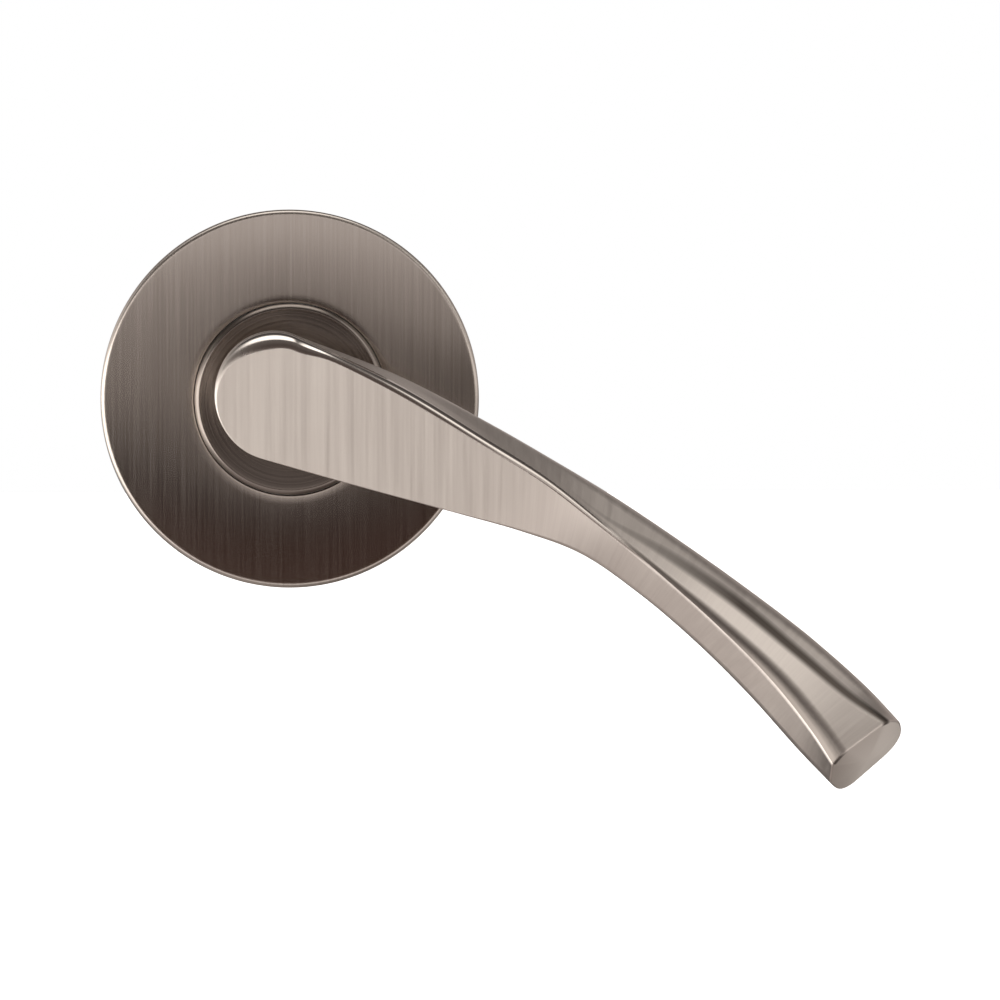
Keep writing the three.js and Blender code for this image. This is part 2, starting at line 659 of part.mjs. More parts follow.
function returnSpring() {
  const path = new SpringPath();
  const marks = [0, 0.0372, 0.06];
  const coilSteps = 40;
  for (let i = 1; i < coilSteps; i += 1) marks.push(0.06 + (0.88 * i) / coilSteps);
  marks.push(0.94, 0.9628, 1);
  const centres = marks.map((mark) => path.getPoint(mark));
  const sides = 8;
  const points = [];
  centres.forEach((centre, i) => {
    const before = centres[Math.max(0, i - 1)];
    const after = centres[Math.min(centres.length - 1, i + 1)];
    const tangent = after.clone().sub(before).normalize();
    const outward = new THREE.Vector3(centre.x, 0, centre.z).normalize();
    const aside = tangent.clone().cross(outward);
    if (aside.length() < 0.5) aside.set(-outward.z, 0, outward.x);
    aside.normalize();
    const lift = aside.clone().cross(tangent).normalize();
    for (let k = 0; k < sides; k += 1) {
      const angle = (k * 2 * Math.PI) / sides;
      const spoke = aside.clone().multiplyScalar(Math.cos(angle)).addScaledVector(lift, Math.sin(angle));
      points.push(centre.clone().addScaledVector(spoke, SPRING_WIRE / 2));
    }
  });
  const index = [];
  for (let i = 0; i < centres.length - 1; i += 1) {
    for (let k = 0; k < sides; k += 1) {
      const [a, b] = [i * sides + k, i * sides + ((k + 1) % sides)];
      index.push(a, b, b + sides, a, b + sides, a + sides);
    }
  }
  const last = (centres.length - 1) * sides;
  for (let k = 1; k < sides - 1; k += 1) {
    index.push(0, k + 1, k);
    index.push(last, last + k, last + k + 1);
  }
  const geometry = new THREE.BufferGeometry().setFromPoints(points);
  geometry.setIndex(index);
  return toSolid(geometry);
}

function cassetteCover() {
  const bore = stubRadius + SEAT_GAP;
  let body = turnedRing([
    [bore, plateBack],
    [plateRadius, plateBack],
    [plateRadius, plateFront],
    [bore, plateFront],
  ], 48);
  for (const angle of plateScrewAngles) {
    const [x, z] = [plateScrewPitch * Math.cos(angle), plateScrewPitch * Math.sin(angle)];
    const gap = FIT_GAP;
    const cone = turned([
      [0, plateBack - 1],
      [CASSETTE_SCREW_HEAD + gap, plateBack - 1],
      [CASSETTE_SCREW_HEAD + gap, plateBack],
      [CASSETTE_SCREW_RADIUS + gap, plateFront - 0.05],
      [CASSETTE_SCREW_RADIUS + gap, plateFront + 1],
      [0, plateFront + 1],
    ], 12);
    body = body.subtract(cone.translate([x, 0, z]));
  }
  return body;
}

function cassetteScrew(angle) {
  const [x, z] = [plateScrewPitch * Math.cos(angle), plateScrewPitch * Math.sin(angle)];
  const shaft = turned([
    [0, plateBack],
    [CASSETTE_SCREW_HEAD, plateBack],
    [CASSETTE_SCREW_RADIUS, plateFront - 0.05],
    [CASSETTE_SCREW_RADIUS, plateBack + CASSETTE_SCREW_LENGTH - 0.5],
    [0, plateBack + CASSETTE_SCREW_LENGTH],
  ], 12);
  const slots = plate(rectangle(2.6, 0.6), plateBack - 1, plateBack + 0.6)
    .add(plate(rectangle(0.6, 2.6), plateBack - 1, plateBack + 0.6));
  return shaft.subtract(slots).translate([x, 0, z]);
}

function washer() {
  const front = plateBack - SEAT_GAP;
  const back = front - WASHER_THICKNESS;
  const [bore, rim] = [stubRadius + FIT_GAP, stubRadius + CIRCLIP_WIDTH + 1];
  return turnedRing([[bore, back], [rim, back], [rim, front], [bore, front]], 32);
}

function circlip() {
  const inner = grooveRadius + FIT_GAP;
  const outer = inner + CIRCLIP_WIDTH;
  const half = radians(145);
  const shape = new THREE.Shape();
  shape.absarc(0, 0, outer, Math.PI / 2 - half, Math.PI / 2 + half, false);
  shape.absarc(0, 0, inner, Math.PI / 2 + half, Math.PI / 2 - half, true);
  shape.closePath();
  return plate(shape, circlipBack, circlipFront, 16);
}

add("spring_cam", BLACK_STEEL, springCam());
add("return_spring", SPRING_STEEL, returnSpring());
add("spring_post", STEEL, bar(POST_RADIUS, camTabFront + SEAT_GAP, pinFront, 16, 0, postPitch));
for (const [name, side] of Object.entries(fixingSides)) {
  const [x, z] = [side * postPitch * Math.sin(stopAngle), -postPitch * Math.cos(stopAngle)];
  add(`stop_pin_${name}`, STEEL, bar(STOP_RADIUS, camBack + SEAT_GAP, pinFront, 16, x, z));
}
add("cassette_cover", STEEL, cassetteCover());
plateScrewAngles.forEach((angle, i) => add(`cassette_screw_${i + 1}`, STEEL, cassetteScrew(angle)));
add("thrust_washer", STEEL, washer());
add("circlip", BLACK_STEEL, circlip());

// ---- fixings through the door ----

function fixingSpigot(x) {
  const bore = FIXING_RADIUS + SEAT_GAP;
  const front = headSeat - 1.5 - FIT_GAP;
  const tube = turnedRing([
    [bore, -SPIGOT_BEHIND_DOOR],
    [SPIGOT_RADIUS - 0.4, -SPIGOT_BEHIND_DOOR],
    [SPIGOT_RADIUS, -SPIGOT_BEHIND_DOOR + 0.4],
    [SPIGOT_RADIUS, front],
    [bore, front],
  ], 24);
  return tube.translate([x, 0, 0]);
}

function fixingScrew(x) {
  const headBack = headSeat + FIT_GAP;
  const headTop = headBack + FIXING_HEAD_HEIGHT - SEAT_GAP;
  const body = turned([
    [0, -FIXING_BEHIND_DOOR],
    [FIXING_RADIUS - 0.6, -FIXING_BEHIND_DOOR],
    [FIXING_RADIUS, -FIXING_BEHIND_DOOR + 0.6],
    [FIXING_RADIUS, headBack],
    [FIXING_HEAD_RADIUS, headBack],
    [FIXING_HEAD_RADIUS, headTop - 0.8],
    [FIXING_HEAD_RADIUS - 0.9, headTop],
    [0, headTop],
  ], 16);
  const drive = plate(rectangle(4, 0.9), headTop - 1.3, headTop + 1)
    .add(plate(rectangle(0.9, 4), headTop - 1.3, headTop + 1));
  return body.subtract(drive).translate([x, 0, 0]);
}

for (const [name, side] of Object.entries(fixingSides)) {
  add(`fixing_spigot_${name}`, STEEL, fixingSpigot(side * fixingPitch));
  add(`fixing_screw_${name}`, STEEL, fixingScrew(side * fixingPitch));
}

export default handle;
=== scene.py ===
import bmesh
import bpy
import numpy as np
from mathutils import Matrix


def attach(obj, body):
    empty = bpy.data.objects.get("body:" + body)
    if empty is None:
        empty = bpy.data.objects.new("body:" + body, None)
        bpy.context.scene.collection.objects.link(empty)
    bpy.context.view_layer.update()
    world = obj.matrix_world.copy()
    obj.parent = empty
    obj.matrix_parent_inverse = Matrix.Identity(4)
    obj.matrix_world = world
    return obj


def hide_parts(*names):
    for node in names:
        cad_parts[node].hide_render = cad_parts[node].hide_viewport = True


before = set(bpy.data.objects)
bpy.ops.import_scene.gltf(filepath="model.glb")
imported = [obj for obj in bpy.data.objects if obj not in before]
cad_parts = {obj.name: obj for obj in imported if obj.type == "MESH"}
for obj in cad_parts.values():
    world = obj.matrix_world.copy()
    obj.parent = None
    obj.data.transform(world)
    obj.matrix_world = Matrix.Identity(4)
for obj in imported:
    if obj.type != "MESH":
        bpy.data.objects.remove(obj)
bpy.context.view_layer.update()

# ---- camera ----
# A long lens one metre in front of the rose, a little to its left and above it, so the
# rose is seen almost square on and the neck hides behind the lever.
CAMERA_LENS = 209.52
CAMERA_PLACE = (-0.016279, -1.008556, 0.035006)
CAMERA_TILT = 87
CAMERA_TURN = -3
camera_data = bpy.data.cameras.new("camera")
camera_data.lens = CAMERA_LENS
camera_data.sensor_width = 36
camera = bpy.data.objects.new("camera", camera_data)
camera.location = CAMERA_PLACE
camera.rotation_euler = np.radians((CAMERA_TILT, 0, CAMERA_TURN))
bpy.context.scene.collection.objects.link(camera)
bpy.context.scene.camera = camera

# ---- studio ----
# A white floor and white surroundings. The metal reflects a dim room behind the camera,
# a pale wall just above it, a dark gap, and a wide bright diffuser overhead.
FLOOR_LEVEL = -0.17
FLOOR_HALF = 3.0
# degrees above the horizon, brightness, and the green share of it
ROOM_IN_FRONT = [
    (-90, 0.50, 0.88), (-50, 0.55, 0.90), (-34, 0.82, 0.92), (-20, 0.85, 0.92),
    (-14, 0.25, 0.76), (-9, 0.08, 0.60), (-6.5, 0.055, 0.50), (-5.2, 0.05, 0.68),
    (-4.1, 0.07, 0.80), (-2.6, 0.19, 0.86), (-1.2, 0.30, 0.88), (0.5, 0.34, 0.89),
    (2.2, 0.44, 0.90), (4, 0.70, 0.92), (7, 0.70, 0.92), (10, 0.12, 0.80),
    (24, 0.09, 0.80), (36, 0.13, 0.85), (90, 0.22, 0.95),
]
ROOM_BEHIND = [
    (-90, 0.55, 0.86), (-52, 0.46, 0.88), (-36, 0.08, 0.90), (-12, 0.20, 0.95),
    (8, 0.60, 0.90), (28, 0.52, 0.90), (40, 0.06, 0.90), (90, 0.15, 0.95),
]
ROOM_MEETS = (-0.35, 0.35)
# each lit patch has a light and soft edges: the axis of the direction that an edge is
# on, where it begins and where the patch is full
LIT_PATCHES = [
    ("diffuser", 1.9, [("Z", 0.78, 0.88), ("Y", 0.25, -0.05), ("X", -0.55, -0.35), ("X", 0.44, 0.32)]),
    ("side_light", 1.0, [("X", -0.72, -0.95)]),
    ("left_panel", 2.9, [("Z", -0.5, -0.3), ("Z", 0.3, 0.12), ("Y", 0.05, -0.3), ("X", -0.28, -0.42)]),
    ("right_panel", 0.8, [("Z", -0.5, -0.3), ("Z", 0.45, 0.3), ("Y", 0.05, -0.3), ("X", 0.32, 0.5)]),
    ("tall_panel", 1.3, [("Z", 0.3, 0.45), ("Z", 0.85, 0.72), ("Y", -0.2, -0.42), ("X", 0.4, 0.52)]),
    ("low_sheet", 0.8, [("Z", -0.35, -0.5), ("Z", -0.78, -0.66), ("Y", 0.15, 0.45), ("X", 0.2, 0.5)]),
]
DARK_DOORWAY = [("Z", -0.05, -0.03), ("Z", 0.01, -0.012), ("X", 0.02, 0.065), ("X", 0.4, 0.25)]
DARK_CORNER = [("X", -0.1, 0.2), ("Z", -0.62, -0.8)]
SHADE_TINT = (0.40, 0.38, 0.36, 1)
LIGHT_TINT = (1, 0.97, 0.93)
BLUE_POWER = 1.45
BRIGHTEST = 4.0


def elevation_ramp(tree, elevation, stops):
    """A colour ramp over the angle above the horizon, from -90 degrees at 0 to 90 at 1.
    Each stop is the degrees, the brightness, and the green share; blue falls by a power of that share."""
    ramp = tree.nodes.new("ShaderNodeValToRGB")
    elements = ramp.color_ramp.elements
    for _ in range(len(stops) - 2):
        elements.new(0.5)
    for element, (degrees, brightness, green) in zip(elements, stops):
        element.position = (degrees + 90) / 180
        light = brightness / BRIGHTEST
        element.color = (light, light * green, light * green ** BLUE_POWER, 1)
    tree.links.new(elevation, ramp.inputs["Fac"])
    return ramp.outputs["Color"]


def soft_step(tree, value, start, end):
    """Rises smoothly from 0 at start to 1 at end."""
    node = tree.nodes.new("ShaderNodeMapRange")
    node.interpolation_type = "SMOOTHSTEP"
    node.inputs["From Min"].default_value = start
    node.inputs["From Max"].default_value = end
    tree.links.new(value, node.inputs["Value"])
    return node.outputs["Result"]


def combine(tree, operation, a, b):
    """One step of arithmetic on sockets or plain numbers."""
    node = tree.nodes.new("ShaderNodeMath")
    node.operation = operation
    for socket, value in zip(node.inputs, (a, b)):
        if isinstance(value, (int, float)):
            socket.default_value = value
        else:
            tree.links.new(value, socket)
    return node.outputs[0]


def patch(tree, axes, edges):
    """The product of one soft step for each edge: 1 inside the patch and 0 outside it."""
    amount = 1.0
    for axis, start, full in edges:
        amount = combine(tree, "MULTIPLY", soft_step(tree, axes.outputs[axis], start, full), amount)
    return amount


def add_light(tree, colour, amount, light):
    """Adds slightly warm light of an amount to a colour."""
    node = tree.nodes.new("ShaderNodeMix")
    node.data_type = "RGBA"
    node.blend_type = "ADD"
    node.inputs["B"].default_value = (*(light / BRIGHTEST * tint for tint in LIGHT_TINT), 1)
    tree.links.new(colour, node.inputs["A"])
    tree.links.new(amount, node.inputs["Factor"])
    return node.outputs["Result"]


world = bpy.data.worlds.new("studio")
bpy.context.scene.world = world
world.use_nodes = True
tree = world.node_tree
direction = tree.nodes.new("ShaderNodeTexCoord")
axes = tree.nodes.new("ShaderNodeSeparateXYZ")
tree.links.new(direction.outputs["Generated"], axes.inputs["Vector"])
arc = combine(tree, "ARCSINE", axes.outputs["Z"], 0.0)
elevation = combine(tree, "MULTIPLY_ADD", arc, 1 / float(np.pi))
elevation.node.inputs[2].default_value = 0.5
around = tree.nodes.new("ShaderNodeMix")
around.data_type = "RGBA"
tree.links.new(soft_step(tree, axes.outputs["Y"], *ROOM_MEETS), around.inputs["Factor"])
tree.links.new(elevation_ramp(tree, elevation, ROOM_IN_FRONT), around.inputs["A"])
tree.links.new(elevation_ramp(tree, elevation, ROOM_BEHIND), around.inputs["B"])
shade = tree.nodes.new("ShaderNodeMix")
shade.data_type = "RGBA"
shade.blend_type = "MULTIPLY"
shade.inputs["B"].default_value = SHADE_TINT
dark = combine(tree, "MAXIMUM", patch(tree, axes, DARK_DOORWAY), patch(tree, axes, DARK_CORNER))
tree.links.new(dark, shade.inputs["Factor"])
tree.links.new(around.outputs["Result"], shade.inputs["A"])
lit = shade.outputs["Result"]
for _, light, edges in LIT_PATCHES:
    lit = add_light(tree, lit, patch(tree, axes, edges), light)
room = tree.nodes["Background"]
room.inputs["Strength"].default_value = BRIGHTEST
tree.links.new(lit, room.inputs["Color"])
white = tree.nodes.new("ShaderNodeBackground")
white.inputs["Color"].default_value = (1, 1, 1, 1)
seen = tree.nodes.new("ShaderNodeLightPath")
either = tree.nodes.new("ShaderNodeMixShader")
tree.links.new(seen.outputs["Is Camera Ray"], either.inputs["Fac"])
tree.links.new(room.outputs["Background"], either.inputs[1])
tree.links.new(white.outputs["Background"], either.inputs[2])
tree.links.new(either.outputs["Shader"], tree.nodes["World Output"].inputs["Surface"])

floor_mesh = bpy.data.meshes.new("floor")
floor_signs = [(-1, -1), (1, -1), (1, 1), (-1, 1)]
floor_corners = [(x * FLOOR_HALF, y * FLOOR_HALF, FLOOR_LEVEL) for x, y in floor_signs]
floor_mesh.from_pydata(floor_corners, [], [(0, 1, 2, 3)])
floor = bpy.data.objects.new("floor", floor_mesh)
bpy.context.scene.collection.objects.link(floor)
floor_paint = bpy.data.materials.new("floor_paint")
floor_paint.use_nodes = True
paint = floor_paint.node_tree.nodes["Principled BSDF"]
paint.inputs["Base Color"].default_value = (0.9, 0.9, 0.9, 1)
paint.inputs["Emission Color"].default_value = (1, 1, 1, 1)
paint.inputs["Emission Strength"].default_value = 1.0
floor_mesh.materials.append(floor_paint)
floor.visible_glossy = False
floor.visible_diffuse = False

# ---- lever blade ----
# The blade is die-cast zinc plated with satin nickel. Its broad face is brushed up and
# down, its top edge is buffed bright, and towards the tip the face narrows to a crease
# between a scooped upper flank and a rounded underside that ends in a slanted cut.
LEVER_OUT = 52.0
BLADE_THICKNESS = (9.5, 11.3)
END_SLANT = 0.55
SLANT_FROM = 0.85
# x, z, out, heading, face, face drop, ridge, ridge drop, flat, flat drop, side, side drop
STATIONS = np.array([
    [0.55, 11.6, 0, -17, 20.8, 0, 0.07, 4.1, 0.1, 5.2, 0.2, 7],
    [16.8, 3.6, 0, -22, 17.7, 0, 0.45, 1.95, 0.9, 3.9, 1.7, 6.8],
    [32.3, -6, -0.4, -23, 12.6, 0.3, 0.55, 1.3, 1.1, 2.6, 3, 6.4],
    [41.7, -12.1, -1.1, -25, 9.4, 1, 0.55, 0.95, 1.1, 1.9, 3.6, 6],
    [50.6, -19.5, -1.8, -32, 5.8, 2, 0.75, 0.6, 1.5, 1.4, 5.4, 5.8],
    [59.9, -27.5, -2.3, -37, 4.5, 3, 0.9, -0.05, 3.6, 2.1, 6.9, 5.4],
    [69.4, -36, -2.2, -40.5, 4.2, 3.8, 1.3, -0.2, 5.3, 2.2, 8.4, 5.2],
    [78.8, -45.5, -1.2, -44, 4.1, 4.4, 1.9, -0.6, 6.7, 1.9, 10.3, 5],
    [85.4, -53.9, 0.4, -46, 3.5, 4.6, 2.1, -0.8, 9, 1.4, 12.3, 4.4],
    [88.8, -59.4, 1.8, -49, 2, 4.6, 2.3, -1, 11.8, 0.9, 13.6, 4.2],
])
# how far each edge's rounding starts before the edge: crease, ridge, shoulder, side,
# back of the top, lower edge, back of the lower side
ROUNDINGS = np.array([
    [0.9, 1.1, 0.85, 0.65, 0.4, 0.3, 0.3, 0.3, 0.3, 0.4],
    [0.3, 0.3, 0.3, 0.3, 0.3, 0.5, 0.9, 1.2, 1.3, 1.4],
    [0.3, 0.3, 0.3, 0.3, 0.5, 1.4, 1.6, 1.4, 1.2, 1],
    [0.8, 1, 1.2, 1.5, 2.2, 2.2, 2.4, 2.2, 2, 1.6],
    [1, 1, 1.3, 1.6, 2, 2.5, 2.8, 3.3, 4.2, 4.9],
    [0.2, 0.25, 0.3, 0.4, 0.5, 0.6, 0.8, 0.9, 1, 1],
    [1, 1, 1.2, 1.4, 1.6, 1.8, 2, 2.4, 2.8, 3.4],
]).T
RIBS = 420
HEAD_RIBS = 56
ROUNDING_STEPS = 9
CUT_ROUND = 0.35
CUT_STEPS = 6
END_HALF = 6.0
CREASE_KINK = 0.12
BACK_SHIFT = 4.5
BACK_DRAFT = (0.2, 0.9)
HEEL_STEP = 0.4
FILLERS = (0.24, 0.32, 0.4)
FILLER_ROUND = 0.1
STRAIGHT_LEAD = 1.06
CREASE_ENDS = 0.75
HEAD_BEVEL = 1.25
HEAD_BEVEL_REACH = 4.2
HEAD_BEVEL_EXTRA = 0.95
HEAD_SWELL = 0.4
SWELL_ENDS = 0.8
CAP_BULGE = 0.8
CAP_RINGS = (0.97, 0.85, 0.65, 0.4, 0.2)


def smooth_reading(marks, values, where):
    """Cubic between marks, each slope the mean of the chord slopes on its two sides."""
    chord = np.diff(values, axis=0) / np.diff(marks)[:, None]
    slope = np.vstack([chord[:1], (chord[1:] + chord[:-1]) / 2, chord[-1:]])
    i = np.clip(np.searchsorted(marks, where, side="right") - 1, 0, len(marks) - 2)
    width = (marks[i + 1] - marks[i])[:, None]
    t = ((where - marks[i])[:, None]) / width
    low = (2 * t ** 3 - 3 * t ** 2 + 1) * values[i] + (t ** 3 - 2 * t ** 2 + t) * width * slope[i]
    return low + (3 * t ** 2 - 2 * t ** 3) * values[i + 1] + (t ** 3 - t ** 2) * width * slope[i + 1]


def rounded_rib(corners, trims, start, end):
    """A rib from start to end whose corners turn by parabolas that begin one trim before and after each.
    A short straight step on both sides of a parabola keeps the flats flat, and the first
    corner starts with a slight kink."""
    before = np.concatenate([start[:, None], corners[:, :-1]], axis=1) - corners
    after = np.concatenate([corners[:, 1:], end[:, None]], axis=1) - corners
    before *= trims[..., None] / np.linalg.norm(before, axis=-1, keepdims=True)
    after *= trims[..., None] / np.linalg.norm(after, axis=-1, keepdims=True)
    pull = corners.copy()
    pull[:, 0, 1] += CREASE_KINK * trims[:, 0]
    t = np.linspace(0, 1, ROUNDING_STEPS)[None, None, :, None]
    turned = (1 - t) ** 2 * (corners + before)[:, :, None] + t ** 2 * (corners + after)[:, :, None]
    turned = turned + 2 * t * (1 - t) * pull[:, :, None]
    lead_in = (corners + STRAIGHT_LEAD * before)[:, :, None]
    lead_out = (corners + STRAIGHT_LEAD * after)[:, :, None]
    turned = np.concatenate([lead_in, turned, lead_out], axis=2)
    return np.concatenate([start[:, None], turned.reshape(len(corners), -1, 2), end[:, None]], axis=1)


def blade_sections(where, length, station, trim):
    """The upper and lower half sections at each distance, as across and drop from the middle line.
    Beside the head the crease's rounding is wider by a bell curve of the distance."""
    face, face_drop, ridge, ridge_drop, flat, flat_drop, side, side_drop = station.T[4:]
    share = where / length
    back = BLADE_THICKNESS[0] + (BLADE_THICKNESS[1] - BLADE_THICKNESS[0]) * share
    start = np.stack([0 * back, face_drop / 2], axis=1)
    end = np.stack([BACK_SHIFT * share ** 2, back], axis=1)
    widest = face / 2 + side
    upper = np.stack([
        np.stack([face / 2, 0 * face], 1),
        np.stack([face / 2 + ridge, ridge_drop], 1),
        np.stack([face / 2 + flat, flat_drop], 1),
        np.stack([widest, side_drop], 1),
        np.stack([widest - BACK_DRAFT[0] - BACK_DRAFT[1] * share, back], 1),
    ], axis=1)
    edge = np.stack([face / 2, face_drop], 1)
    heel = np.stack([face / 2 - HEEL_STEP, back], 1)
    fillers = [edge + filler * (heel - edge) for filler in FILLERS]
    lower = np.stack([edge, *fillers, heel], axis=1)
    small = np.full_like(face, FILLER_ROUND)
    crease = trim[:, :1] + HEAD_BEVEL * np.exp(-(where[:, None] / HEAD_BEVEL_REACH) ** 2)
    upper_trims = np.hstack([crease, trim[:, 1:5]])
    lower_trims = np.stack([trim[:, 5], small, small, small, trim[:, 6]], axis=1)
    end_below = end * (-1, 1)
    return rounded_rib(upper, upper_trims, start, end), rounded_rib(lower, lower_trims, start, end_below)


def ribs_in_space(section, where, length, station, swing):
    """Each rib stands across the blade's middle line, swung by an angle about it.
    Near the tip it leans along the line by its depth, so that the end is cut on a slant."""
    heading = np.radians(station[:, 3])
    forward = np.stack([np.cos(heading), np.sin(heading)], 1)
    up = np.stack([-forward[:, 1], forward[:, 0]], 1)
    centre = station[:, :2] - up * station[:, 4:5] / 2
    across = np.cos(swing)[:, None] * up - np.sin(swing)[:, None] * forward
    lean = END_SLANT * np.maximum(0, (where / length - SLANT_FROM) / (1 - SLANT_FROM))
    flat = centre[:, None] + across[:, None] * section[:, :, :1]
    flat = flat + forward[:, None] * (lean[:, None] * section[:, :, 1])[..., None]
    return np.stack([flat[..., 0], section[..., 1] - LEVER_OUT - station[:, 2:3], flat[..., 1]], axis=-1)


def blade_grid():
    """Ribs of the upper half from the tip to the head, swung round the head, and back below to the tip.
    A cap of shrinking rings closes the end, raised along the end's normal by a parabola of the ring."""
    marks = np.concatenate([[0], np.cumsum(np.hypot(*np.diff(STATIONS[:, :2], axis=0).T))])
    length = marks[-1]
    turn = np.linspace(0, np.pi / 2, CUT_STEPS)
    last = length - CUT_ROUND * (1 - np.sin(turn[1:]))
    where = np.concatenate([np.linspace(0, length - CUT_ROUND, RIBS), last])
    station = smooth_reading(marks, STATIONS, where)
    trim = smooth_reading(marks, ROUNDINGS, where)
    upper, lower = blade_sections(where, length, station, trim)
    still = np.zeros_like(where)
    top = ribs_in_space(upper, where, length, station, still)
    bottom = ribs_in_space(lower, where, length, station, still + np.pi)
    ends = np.concatenate([top[-CUT_STEPS:], bottom[-CUT_STEPS:, ::-1]], axis=1)
    reach = np.linalg.norm(np.diff(ends, axis=1, append=ends[:, :1]), axis=2)[..., None]
    middle = (ends * reach).sum(axis=1, keepdims=True) / reach.sum(axis=1, keepdims=True)
    keep = (1 - CUT_ROUND * (1 - np.cos(turn)) / END_HALF)[:, None, None]
    top[-CUT_STEPS:] = middle + (top[-CUT_STEPS:] - middle) * keep
    bottom[-CUT_STEPS:] = middle + (bottom[-CUT_STEPS:] - middle) * keep
    part = np.linspace(0, 1, HEAD_RIBS + 2)[1:-1]
    mix = np.minimum(part / CREASE_ENDS, 1)[:, None, None]
    mix = mix ** 2 * (3 - 2 * mix)
    head_station = np.repeat(station[:1], HEAD_RIBS, axis=0)
    head_trim = np.repeat(trim[:1], HEAD_RIBS, axis=0)
    head_trim[:, 0] += HEAD_BEVEL_EXTRA * np.abs(np.sin(2 * np.pi * np.minimum(part, 0.5))) ** 1.5
    wide, narrow = blade_sections(0 * part, length, head_station, head_trim)
    swung = wide * (1 - mix) + narrow * mix
    swelling = np.minimum(part / SWELL_ENDS, 1)
    swell = 1 + HEAD_SWELL * swelling * (1 - swelling) ** 2
    swung = swung * np.stack([swell, 1 + 0 * swell], axis=1)[:, None]
    head = ribs_in_space(swung, 0 * part, length, head_station, np.pi * part)
    rings = np.array([*CAP_RINGS, 0, *CAP_RINGS[::-1]])[:, None, None]
    half = len(CAP_RINGS)
    edge = np.concatenate([np.repeat(bottom[-1:], half + 1, axis=0), np.repeat(top[-1:], half, axis=0)])
    tip = np.radians(station[-1, 3])
    outward = np.array((np.cos(tip), -END_SLANT, np.sin(tip))) / np.hypot(1, END_SLANT)
    cap = middle[-1] + rings * (edge - middle[-1]) + CAP_BULGE * (1 - rings ** 2) * outward
    points = np.concatenate([top[::-1], head, bottom, cap])
    forth = np.arange(len(where))
    order = np.concatenate([forth[::-1], 0 * part.astype(int), forth, [-1] * len(rings)])
    shares = where[order] / length
    above = np.concatenate([0 * where + 1, 1 - mix[:, 0, 0], 0 * where, [0] * len(rings)])
    heading = np.radians(station[order, 3])
    travel = where[order]
    return points * 0.001, shares, above, heading, travel * 0.001


def close_mesh(mesh):
    """Merges doubled points and turns every face outwards."""
    shell = bmesh.new()
    shell.from_mesh(mesh)
    bmesh.ops.remove_doubles(shell, verts=shell.verts, dist=2e-7)
    bmesh.ops.dissolve_degenerate(shell, edges=shell.edges, dist=1e-7)
    bmesh.ops.recalc_face_normals(shell, faces=shell.faces)
    shell.to_mesh(mesh)
    shell.free()


def add_grid(name, points, wrap_rows, wrap_columns, attributes=None, sharp=35):
    """A mesh from a grid of points: each cell is one face, the seams and poles are merged, and
    faces point outwards. Attributes are arrays over the same grid."""
    rows, columns = points.shape[:2]
    i = np.arange(rows if wrap_rows else rows - 1)
    k = np.arange(columns if wrap_columns else columns - 1)
    i, k = np.meshgrid(i, k, indexing="ij")
    i2, k2 = (i + 1) % rows, (k + 1) % columns
    corner = np.stack([i * columns + k, i * columns + k2, i2 * columns + k2, i2 * columns + k], axis=-1)
    mesh = bpy.data.meshes.new(name)
    mesh.from_pydata(points.reshape(-1, 3), [], corner.reshape(-1, 4))
    for key, values in (attributes or {}).items():
        vector = values.ndim == 3
        layer = mesh.attributes.new(key, "FLOAT_VECTOR" if vector else "FLOAT", "POINT")
        layer.data.foreach_set("vector" if vector else "value", values.astype(np.float32).reshape(-1))
    close_mesh(mesh)
    mesh.polygons.foreach_set("use_smooth", np.ones(len(mesh.polygons), bool))
    mesh.set_sharp_from_angle(angle=np.radians(sharp))
    piece = bpy.data.objects.new(name, mesh)
    bpy.context.scene.collection.objects.link(piece)
    return piece


points, shares, above, heading, travel = blade_grid()
# Where the finish changes: each corner of a rib takes one step of columns. The crest is
# buffed, two hollows towards the tip are painted dark as painted shade, and the brushing turns to run
# across.
step = ROUNDING_STEPS + 2
column = np.arange(points.shape[1])[None, :]
upper = np.clip(above * 1.6 - 0.5, 0, 1)[:, None]
along = shares[:, None]
polish = ((column >= 2) & (column <= step + 2)) * upper * np.clip(1.6 - 2 * along, 0.3, 1)
# Painted shade: a dark strip beside the crease and a dark band along the shoulder, both fading in towards
# the tip.
crease_painted_shade = np.interp(column, [step - 2, step - 0.5, step + 5, 2 * step - 1], [0, 0.8, 0.8, 0])
crease_painted_shade = crease_painted_shade * np.clip((along - 0.42) / 0.2, 0, 1)
shoulder_edge = 2.5 * step
shoulder_columns = [shoulder_edge - 3.5, shoulder_edge - 1, shoulder_edge + 2, shoulder_edge + 5]
shoulder_painted_shade = np.interp(column, shoulder_columns, [0, 1, 1, 0]) * np.clip((along - 0.45) / 0.3, 0, 1)
painted_shade_mask = np.maximum(crease_painted_shade, shoulder_painted_shade) * upper
turned_brush = np.clip((along - 0.35) / 0.4, 0, 1)
turned_brush = turned_brush ** 2 * (3 - 2 * turned_brush)
angle = turned_brush * heading[:, None] + 0 * column
across = np.stack([np.cos(angle), 0 * angle, np.sin(angle)], axis=-1)
lines = (1 - turned_brush) * points[..., 0] + turned_brush * travel[:, None]
brush = np.stack([lines, points[..., 1], points[..., 2]], axis=-1)
blade = add_grid("lever_blade", points, True, False, {
    "polish": polish, "painted_shade_mask": painted_shade_mask, "brush": brush, "across_brush": across,
}, sharp=80)


def metal(name, roughness, anisotropic):
    """A new metal material with its shader's plain sockets set, and its node tree."""
    material = bpy.data.materials.new(name)
    material.use_nodes = True
    shader = material.node_tree.nodes["Principled BSDF"]
    shader.inputs["Metallic"].default_value = 1
    shader.inputs["Roughness"].default_value = roughness
    shader.inputs["Anisotropic"].default_value = anisotropic
    return material, material.node_tree, shader


def read_attribute(tree, name):
    """The node that reads one of the mesh's own attributes."""
    node = tree.nodes.new("ShaderNodeAttribute")
    node.attribute_name = name
    return node


